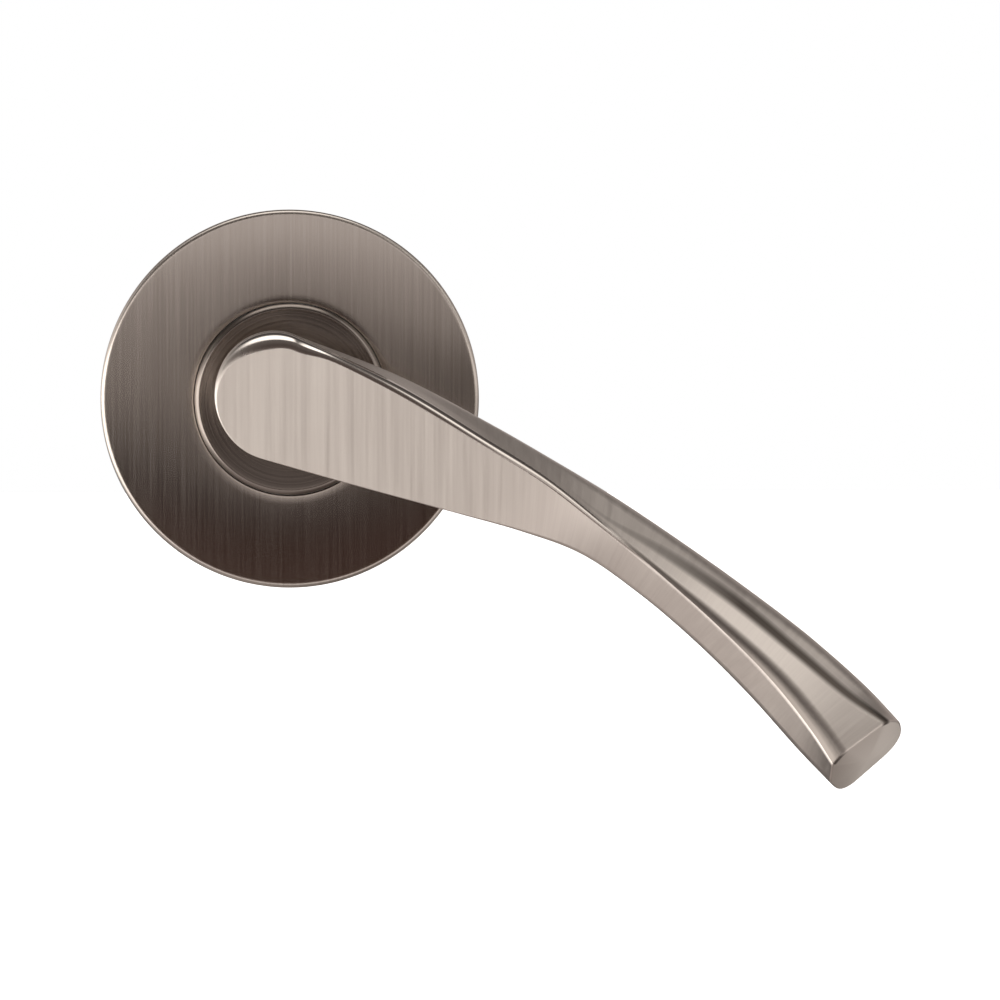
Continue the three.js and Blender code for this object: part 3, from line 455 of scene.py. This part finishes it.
def noise_along(tree, scales, detail, place=None):
    """Noise stretched by a scale per axis, in waves a metre, over object coordinates or the given ones."""
    if place is None:
        place = tree.nodes.new("ShaderNodeTexCoord").outputs["Object"]
    mapping = tree.nodes.new("ShaderNodeMapping")
    mapping.inputs["Scale"].default_value = scales
    noise = tree.nodes.new("ShaderNodeTexNoise")
    noise.inputs["Scale"].default_value = 1
    noise.inputs["Detail"].default_value = detail
    tree.links.new(place, mapping.inputs["Vector"])
    tree.links.new(mapping.outputs["Vector"], noise.inputs["Vector"])
    return noise.outputs["Fac"]


NOISE_LOW = 0.3
NOISE_HIGH = 0.7


def spread(tree, value, low, high):
    """Noise, which stays mostly between its own low and high values, spread between two others."""
    node = tree.nodes.new("ShaderNodeMapRange")
    node.inputs["From Min"].default_value = NOISE_LOW
    node.inputs["From Max"].default_value = NOISE_HIGH
    node.inputs["To Min"].default_value = low
    node.inputs["To Max"].default_value = high
    tree.links.new(value, node.inputs["Value"])
    return node.outputs["Result"]


def two_tones(tree, value, dark, light):
    """A colour between two tones."""
    node = tree.nodes.new("ShaderNodeMix")
    node.data_type = "RGBA"
    node.inputs["A"].default_value = (*dark, 1)
    node.inputs["B"].default_value = (*light, 1)
    tree.links.new(value, node.inputs["Factor"])
    return node.outputs["Result"]


def across_brushing(tree, shader, vector):
    """The tangent that spreads reflections across the brush lines, turned with the piece."""
    turn = tree.nodes.new("ShaderNodeVectorTransform")
    turn.vector_type = "VECTOR"
    turn.convert_from = "OBJECT"
    turn.convert_to = "WORLD"
    if isinstance(vector, tuple):
        turn.inputs["Vector"].default_value = vector
    else:
        tree.links.new(vector, turn.inputs["Vector"])
    tree.links.new(turn.outputs["Vector"], shader.inputs["Tangent"])


def bump(tree, shader, height, depth):
    """A relief of the given depth in metres."""
    node = tree.nodes.new("ShaderNodeBump")
    node.inputs["Distance"].default_value = depth
    node.inputs["Strength"].default_value = 1
    tree.links.new(height, node.inputs["Height"])
    tree.links.new(node.outputs["Normal"], shader.inputs["Normal"])


def weighed(tree, first, second, share):
    """A mean of two values in which the first has a share and the second has the rest."""
    first = combine(tree, "MULTIPLY", first, share)
    return combine(tree, "ADD", first, combine(tree, "MULTIPLY", second, 1 - share))


FINE_BRUSH = (2600, 300, 45)
BROAD_BRUSH = (800, 120, 14)
CLOUDS = (60, 60, 60)
LEVER_TONES = ((0.625, 0.572, 0.53), (0.735, 0.684, 0.636))
# The near-black tone that is painted over the crease and shoulder towards the tip as painted shade.
PAINTED_SHADE_TONE = (0.10, 0.085, 0.075, 1)
LEVER_ROUGH = (0.40, 0.50)
POLISHED_ROUGH = 0.1
LEVER_RELIEF = 0.000005
lever_nickel, tree, shader = metal("lever_nickel", 0.45, 0.6)
brush_place = read_attribute(tree, "brush").outputs["Vector"]
fine = noise_along(tree, FINE_BRUSH, 4, brush_place)
broad = noise_along(tree, BROAD_BRUSH, 2, brush_place)
cloud = noise_along(tree, CLOUDS, 2)
polished = read_attribute(tree, "polish")
painted_shade_reading = read_attribute(tree, "painted_shade_mask")
brushed = combine(tree, "SUBTRACT", 1.0, polished.outputs["Fac"])
streak = weighed(tree, fine, broad, 0.6)
nickel = two_tones(tree, spread(tree, weighed(tree, streak, cloud, 0.7), 0, 1), *LEVER_TONES)
# The mask mixes the painted shade tone into the nickel colour.
shade = tree.nodes.new("ShaderNodeMix")
shade.data_type = "RGBA"
shade.inputs["B"].default_value = PAINTED_SHADE_TONE
tree.links.new(nickel, shade.inputs["A"])
tree.links.new(painted_shade_reading.outputs["Fac"], shade.inputs["Factor"])
tree.links.new(shade.outputs["Result"], shader.inputs["Base Color"])
grain = combine(tree, "MULTIPLY", spread(tree, streak, *LEVER_ROUGH), brushed)
buffed = combine(tree, "MULTIPLY", polished.outputs["Fac"], POLISHED_ROUGH)
rough = combine(tree, "ADD", grain, buffed)
tree.links.new(rough, shader.inputs["Roughness"])
bump(tree, shader, combine(tree, "MULTIPLY", streak, brushed), LEVER_RELIEF)
across_brushing(tree, shader, read_attribute(tree, "across_brush").outputs["Vector"])
blade.data.materials.append(lever_nickel)
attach(blade, "lever")
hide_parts("lever_handle")

# ---- lever neck ----
# The neck is one casting with the blade: a round post that turns in the bush, then a
# stub with two flats that drives the cam, a groove for the circlip, and a square socket.
NECK_RADIUS = 9.0
NECK_FLARE = 0.5
BLADE_BACK = 42.5
STUB_RADIUS = 7.0
STUB_FLAT = 6.1
GROOVE_RADIUS = 6.4
SOCKET_HALF = 4.1
SOCKET_DEPTH = 35.0
NECK_START = 6.6
STUB_END = -3.0
GROOVE_OUT = (-2.1, -0.9)
CHAMFER = 0.3
SOCKET_CHAMFER = 0.2
IN_BLADE = 1.5
FREE = 99.0
# how far before the blade's back the flare begins, and how much wider it is there
FLARE_STEPS = ((6.0, 0), (4.5, 0.06), (3.0, 0.15), (1.5, 0.29), (0, NECK_FLARE), (-IN_BLADE, NECK_FLARE))


def around_axis(rows, sides):
    """A surface round the spindle's axis, from rows of radius, out, flat and square.
    At every angle a row's radius is cut short by its flats, top and bottom, or by its square."""
    angle = np.arange(sides) * 2 * np.pi / sides
    radius, out, flat, square = np.array(rows, float).T[:, :, None]
    reach = np.minimum(radius, flat / np.maximum(np.abs(np.sin(angle)), 1e-6))
    widest = np.maximum(np.abs(np.sin(angle)), np.abs(np.cos(angle)))
    reach = np.minimum(reach, square / widest)
    return np.stack([reach * np.cos(angle), -out + 0 * angle, reach * np.sin(angle)], axis=-1) * 0.001


neck_rows = [
    (0, SOCKET_DEPTH, FREE, FREE),
    (NECK_RADIUS, SOCKET_DEPTH, FREE, SOCKET_HALF),
    (NECK_RADIUS, STUB_END + SOCKET_CHAMFER, FREE, SOCKET_HALF),
    (NECK_RADIUS, STUB_END, FREE, SOCKET_HALF + SOCKET_CHAMFER),
    (STUB_RADIUS - CHAMFER, STUB_END, STUB_FLAT - CHAMFER, FREE),
    (STUB_RADIUS, STUB_END + CHAMFER, STUB_FLAT, FREE),
    (STUB_RADIUS, GROOVE_OUT[0], STUB_FLAT, FREE),
    (GROOVE_RADIUS, GROOVE_OUT[0], STUB_FLAT, FREE),
    (GROOVE_RADIUS, GROOVE_OUT[1], STUB_FLAT, FREE),
    (STUB_RADIUS, GROOVE_OUT[1], STUB_FLAT, FREE),
    (STUB_RADIUS, NECK_START, STUB_FLAT, FREE),
    (NECK_RADIUS - CHAMFER, NECK_START, FREE, FREE),
    (NECK_RADIUS, NECK_START + CHAMFER, FREE, FREE),
    (NECK_RADIUS, 20, FREE, FREE),
    *((NECK_RADIUS + wider, BLADE_BACK - before, FREE, FREE) for before, wider in FLARE_STEPS),
    (0, BLADE_BACK + IN_BLADE, FREE, FREE),
]
neck_points = around_axis(neck_rows, 192)
ring_way = np.stack([-neck_points[..., 2], 0 * neck_points[..., 0], neck_points[..., 0]], axis=-1)
ring_way = ring_way / (NECK_RADIUS * 0.001)
neck_brush = np.roll(neck_points, 1, axis=-1) * (0.2, 1, 1)
neck = add_grid("lever_neck", neck_points, False, True, {"brush": neck_brush, "across_brush": ring_way})
neck.data.materials.append(lever_nickel)

# The grub screw's hole is drilled up into the neck as far as the socket.
GRUB_OUT = 22.0
GRUB_HOLE_RADIUS = 2.6
DRILL_TOP = -3.0
DRILL_BOTTOM = -12.0
drill_turn = np.arange(48) * 2 * np.pi / 48
reach = np.array((0, GRUB_HOLE_RADIUS, GRUB_HOLE_RADIUS, 0))[:, None]
level = np.array((DRILL_TOP, DRILL_TOP, DRILL_BOTTOM, DRILL_BOTTOM))[:, None]
drill_place = (reach * np.cos(drill_turn), reach * np.sin(drill_turn) - GRUB_OUT, level + 0 * drill_turn)
drill = add_grid("drill", np.stack(drill_place, axis=-1) * 0.001, False, True)
cut = neck.modifiers.new("cut", "BOOLEAN")
cut.operation = "DIFFERENCE"
cut.solver = "EXACT"
cut.object = drill
drilled = bpy.data.meshes.new_from_object(neck.evaluated_get(bpy.context.evaluated_depsgraph_get()))
neck.modifiers.clear()
neck.data = drilled
drilled.set_sharp_from_angle(angle=np.radians(35))
bpy.data.objects.remove(drill)
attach(neck, "lever")
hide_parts("lever_handle")

# ---- rose cover ----
# The cover is one sheet of steel pressed into a shallow cup, plated, and brushed up and
# down across its face. It pushes over the base and grips a rubber ring.
ROSE_RADIUS = 32.5
COVER_WALL = 0.9
COVER_EDGE = 9.3
COVER_CROWN = 0.35
RIM_ROUND = 0.8
DOME_CURVE = 1.8
HOLE_RADIUS = 16.55
HOLE_DIP = 0.05
HOLE_DIP_WIDTH = 1.5
HOLE_EDGE = 0.2
ARC_END = 87.5


def arc_points(centre, radius, start, end, steps):
    """Points on an arc about a centre in radius and out, between two angles in degrees."""
    angle = np.radians(np.linspace(start, end, steps))
    return np.stack([centre[0] + radius * np.cos(angle), centre[1] + radius * np.sin(angle)], axis=1)


def turned_ring(profile, sides):
    """A closed profile of radius and out carried round the spindle's axis."""
    angle = (np.arange(sides) * 2 * np.pi / sides)[None, :]
    radius, out = profile.T[:, :, None]
    return np.stack([radius * np.cos(angle), -out + 0 * angle, radius * np.sin(angle)], axis=-1) * 0.001


rim = (ROSE_RADIUS - RIM_ROUND, COVER_EDGE - RIM_ROUND)
dome_radius = np.linspace(rim[0], HOLE_RADIUS + HOLE_EDGE, 60)[1:]
dome_share = np.clip((dome_radius - HOLE_RADIUS) / (rim[0] - HOLE_RADIUS), 0, 1)
dip_share = np.clip(1 - (dome_radius - HOLE_RADIUS) / HOLE_DIP_WIDTH, 0, 1)
dome_out = COVER_EDGE + COVER_CROWN * (1 - dome_share ** DOME_CURVE) - HOLE_DIP * dip_share ** 2
dome = np.stack([dome_radius, dome_out], axis=1)
cover_profile = np.vstack([
    [(ROSE_RADIUS, 0), (ROSE_RADIUS, rim[1] - 0.1)],
    arc_points(rim, RIM_ROUND, 0, ARC_END, 14),
    dome,
    arc_points((HOLE_RADIUS + HOLE_EDGE, dome_out[-1] - HOLE_EDGE), HOLE_EDGE, 100, 180, 6),
    [(HOLE_RADIUS, dome_out[-1] - COVER_WALL)],
    dome[::-1] - (0, COVER_WALL),
    arc_points(rim, RIM_ROUND - COVER_WALL, ARC_END, 0, 8),
    [(ROSE_RADIUS - COVER_WALL, 0)],
])
cover = add_grid("rose_cover", turned_ring(cover_profile, 320), True, True)


def distance_from_axis(tree):
    """How far a point lies from the spindle's axis, in metres."""
    place = tree.nodes.new("ShaderNodeTexCoord")
    flat = tree.nodes.new("ShaderNodeVectorMath")
    flat.operation = "MULTIPLY"
    flat.inputs[1].default_value = (1, 0, 1)
    length = tree.nodes.new("ShaderNodeVectorMath")
    length.operation = "LENGTH"
    tree.links.new(place.outputs["Object"], flat.inputs[0])
    tree.links.new(flat.outputs["Vector"], length.inputs[0])
    return length.outputs["Value"]


COVER_TONES = ((0.49, 0.445, 0.405), (0.555, 0.51, 0.47))
COVER_ROUGH = (0.12, 0.16)
RIM_WEAR = 0.16
RIM_WEAR_WIDTH = (0.0010, 0.0004)
PLATED_RELIEF = 0.000003
cover_nickel, tree, shader = metal("cover_nickel", 0.14, 0.9)
fine = noise_along(tree, (2900, 300, 40), 4)
broad = noise_along(tree, (900, 200, 12), 2)
streak = weighed(tree, fine, broad, 0.75)
tones = two_tones(tree, spread(tree, streak, 0, 1), *COVER_TONES)
tree.links.new(tones, shader.inputs["Base Color"])
wear_from, wear_to = (ROSE_RADIUS * 0.001 - width for width in RIM_WEAR_WIDTH)
rim_wear = soft_step(tree, distance_from_axis(tree), wear_from, wear_to)
worn = combine(tree, "MULTIPLY", rim_wear, RIM_WEAR)
rough = combine(tree, "ADD", spread(tree, streak, *COVER_ROUGH), worn)
tree.links.new(rough, shader.inputs["Roughness"])
bump(tree, shader, streak, PLATED_RELIEF)
across_brushing(tree, shader, (1, 0, 0))
cover.data.materials.append(cover_nickel)
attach(cover, "cover")
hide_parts("rosette_cover")

# ---- neck collar ----
# The collar is a turned ring, plated like the cover but brushed round and round on the
# lathe. It presses over the base's hub and fills the cover's hole round the neck.
COLLAR_RADIUS = 16.4
COLLAR_TOP = 10.75
COLLAR_BORE = 9.3
COLLAR_ROUND = 0.9
COLLAR_DISH = 0.1
COLLAR_BACK = 8.2
COLLAR_STEP = (15.0, 9.4)
COLLAR_HOLE_ROUND = 0.2
TOP_INNER = COLLAR_BORE + 1.1
COLLAR_ARC_END = 88
EDGE_STEP = 0.003
collar_slope = np.linspace(0, 1, 12)[:, None]
collar_crest = (COLLAR_RADIUS - COLLAR_ROUND, COLLAR_TOP - COLLAR_ROUND)
hole_round = (COLLAR_BORE + COLLAR_HOLE_ROUND, COLLAR_TOP - COLLAR_DISH - COLLAR_HOLE_ROUND)
dish_way = (TOP_INNER - COLLAR_RADIUS, -COLLAR_DISH)
collar_profile = np.vstack([
    [(COLLAR_RADIUS, COLLAR_BACK)],
    arc_points(collar_crest, COLLAR_ROUND, 0, COLLAR_ARC_END, 14),
    (collar_crest[0], COLLAR_TOP - EDGE_STEP) + collar_slope * dish_way,
    arc_points(hole_round, COLLAR_HOLE_ROUND, 90, 180, 5),
    [(COLLAR_BORE, COLLAR_STEP[1]), COLLAR_STEP, (COLLAR_STEP[0], COLLAR_BACK)],
])
collar = add_grid("collar", turned_ring(collar_profile, 256), True, True)
# The collar's tones are painted much darker than the cover's, as painted shade from the lever hanging over
# it.
COLLAR_SHADED_TONES = ((0.23, 0.20, 0.18), (0.29, 0.255, 0.23))
COLLAR_ROUGH = (0.09, 0.14)
EDGE_WEAR = 0.2
EDGE_WEAR_WIDTH = 0.4
collar_nickel, tree, shader = metal("collar_nickel", 0.2, 0.7)
radial = distance_from_axis(tree)
rings = tree.nodes.new("ShaderNodeTexNoise")
rings.noise_dimensions = "1D"
rings.inputs["Scale"].default_value = 2500
rings.inputs["Detail"].default_value = 3
tree.links.new(radial, rings.inputs["W"])
turned = rings.outputs["Fac"]
tones = two_tones(tree, spread(tree, turned, 0, 1), *COLLAR_SHADED_TONES)
tree.links.new(tones, shader.inputs["Base Color"])
edge_wear = soft_step(tree, radial, collar_crest[0] * 0.001, (COLLAR_RADIUS - EDGE_WEAR_WIDTH) * 0.001)
worn = combine(tree, "MULTIPLY", edge_wear, EDGE_WEAR)
rough = combine(tree, "ADD", spread(tree, turned, *COLLAR_ROUGH), worn)
tree.links.new(rough, shader.inputs["Roughness"])
bump(tree, shader, turned, PLATED_RELIEF)
outward = tree.nodes.new("ShaderNodeVectorMath")
outward.operation = "MULTIPLY"
outward.inputs[1].default_value = (1, 0, 1)
place = tree.nodes.new("ShaderNodeTexCoord")
tree.links.new(place.outputs["Object"], outward.inputs[0])
across_brushing(tree, shader, outward.outputs["Vector"])
collar.data.materials.append(collar_nickel)
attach(collar, "rose")
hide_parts("neck_collar")

# ---- rose base and nylon bush ----
# The base is die-cast zinc alloy left raw, with a grainy skin and duller patches. The
# bush is turned from natural nylon and pressed into the base's hub, where the neck runs.


def coat_node(names, material):
    """Gives CAD nodes one material."""
    for name in names:
        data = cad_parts[name].data
        data.materials.clear()
        data.materials.append(material)


def noisy_finish(tree, shader, value, tones, roughness):
    """Colour between two tones and roughness between two values, both read from one noise."""
    tree.links.new(two_tones(tree, spread(tree, value, 0, 1), *tones), shader.inputs["Base Color"])
    tree.links.new(spread(tree, value, *roughness), shader.inputs["Roughness"])


cast_zinc, tree, shader = metal("cast_zinc", 0.5, 0.0)
skin = noise_along(tree, (1500, 1500, 1500), 4)
flow = noise_along(tree, (90, 90, 90), 3)
mottle = weighed(tree, skin, flow, 0.35)
noisy_finish(tree, shader, mottle, ((0.33, 0.335, 0.345), (0.56, 0.57, 0.585)), (0.62, 0.40))
bump(tree, shader, skin, 0.00003)
coat_node(["rose_base"], cast_zinc)

nylon, tree, shader = metal("nylon", 0.5, 0.0)
shader.inputs["Metallic"].default_value = 0
shader.inputs["Subsurface Weight"].default_value = 0.3
shader.inputs["Subsurface Radius"].default_value = (0.001, 0.0009, 0.0007)
haze = noise_along(tree, (400, 400, 400), 3)
noisy_finish(tree, shader, haze, ((0.74, 0.73, 0.67), (0.84, 0.83, 0.79)), (0.42, 0.58))
bump(tree, shader, haze, 0.00001)
coat_node(["neck_bush"], nylon)

# ---- rubber ring ----
# A moulded rubber ring in the base's groove, black with a faint grey bloom. The cover is
# pushed over it and held by its grip.
rubber, tree, shader = metal("ring_rubber", 0.75, 0.0)
shader.inputs["Metallic"].default_value = 0
bloom = noise_along(tree, (700, 700, 700), 4)
noisy_finish(tree, shader, bloom, ((0.012, 0.012, 0.012), (0.035, 0.034, 0.033)), (0.62, 0.85))
bump(tree, shader, bloom, 0.00003)
coat_node(["cover_ring"], rubber)

# ---- spindle, pins, plate, washer and fixings ----
# Drawn and machined steel with bright zinc plating: fine drawing lines along the spindle's
# axis, a slightly patchy passivated colour, and duller rubbed places.
zinc_plate, tree, shader = metal("zinc_plate", 0.3, 0.3)
drawn = noise_along(tree, (2500, 60, 2500), 3)
stain = noise_along(tree, (140, 140, 140), 3)
tones = two_tones(tree, spread(tree, stain, 0, 1), (0.40, 0.41, 0.43), (0.55, 0.55, 0.56))
tree.links.new(tones, shader.inputs["Base Color"])
plate_rough = combine(tree, "ADD", spread(tree, drawn, 0.14, 0.24), spread(tree, stain, 0.24, 0.14))
tree.links.new(plate_rough, shader.inputs["Roughness"])
bump(tree, shader, drawn, 0.000006)
coat_node([
    "spindle", "spring_post", "stop_pin_left", "stop_pin_right", "cassette_cover", "cassette_screw_1",
    "cassette_screw_2", "cassette_screw_3", "cassette_screw_4", "thrust_washer", "fixing_spigot_left",
    "fixing_spigot_right", "fixing_screw_left", "fixing_screw_right",
], zinc_plate)

# ---- cam, circlip and grub screw ----
# Hardened steel, blackened in hot oxide and oiled, so its black is uneven. The cam is
# pressed out and filed, and the circlip springs into the stub's groove.
black_oxide, tree, shader = metal("black_oxide", 0.4, 0.0)
oiled = noise_along(tree, (500, 500, 500), 4)
noisy_finish(tree, shader, oiled, ((0.035, 0.036, 0.042), (0.10, 0.10, 0.105)), (0.30, 0.5))
bump(tree, shader, oiled, 0.00001)
coat_node(["spring_cam", "circlip", "grub_screw"], black_oxide)

# ---- return spring ----
# Two turns of oiled spring wire, wound with two straight legs that rest on the post.
# Drawing and heat have left it dark grey and mottled.
spring_wire, tree, shader = metal("spring_wire", 0.35, 0.2)
scale = noise_along(tree, (1800, 1800, 1800), 3)
noisy_finish(tree, shader, scale, ((0.24, 0.225, 0.21), (0.44, 0.42, 0.40)), (0.26, 0.42))
bump(tree, shader, scale, 0.000008)
coat_node(["return_spring"], spring_wire)

bpy.context.scene.view_settings.view_transform = "Standard"
